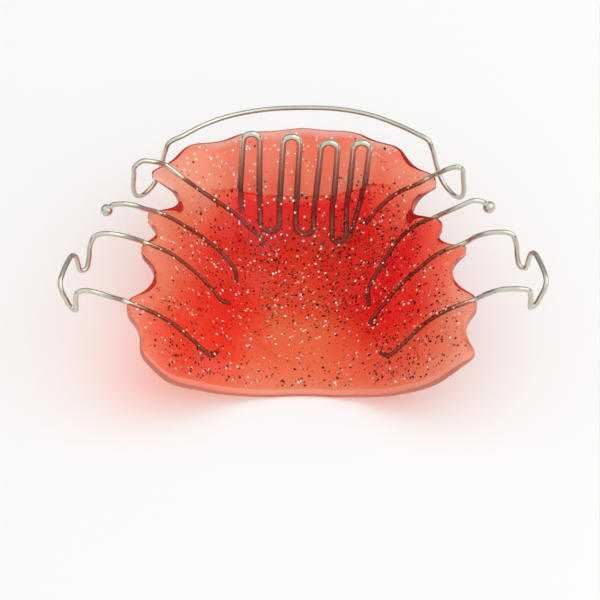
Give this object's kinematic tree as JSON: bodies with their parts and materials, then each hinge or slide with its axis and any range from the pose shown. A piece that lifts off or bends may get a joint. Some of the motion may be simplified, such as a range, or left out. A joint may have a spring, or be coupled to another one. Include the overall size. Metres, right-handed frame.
{
  "type": "removable habit appliance",
  "caption": "Red acrylic palate plate with standing wire loops that keep the tongue back, a bow round the front teeth, and ball and Adams clasps that grip the side teeth.",
  "frame": {"origin": "below the centre of the bounding box, level with the lowest line of the plate's palatal side", "axes": "+Z from the palate towards the tongue, +Y from the back edge towards the front teeth, +X across the arch, to the right in the picture, which is the wearer's left; the nodes' left and right are the picture's"},
  "size_m": [0.0644, 0.0488, 0.019],
  "materials": {
    "red_acrylic": "polished clear red acrylic with glitter",
    "steel_wire": "polished stainless wire"
  },
  "bodies": {
    "root": {"baseplate": "red_acrylic", "tongue_crib": "steel_wire", "labial_bow": "steel_wire", "ball_clasp_left": "steel_wire", "ball_clasp_right": "steel_wire", "adams_clasp_left": "steel_wire", "adams_clasp_right": "steel_wire"}
  },
  "joints": []
}
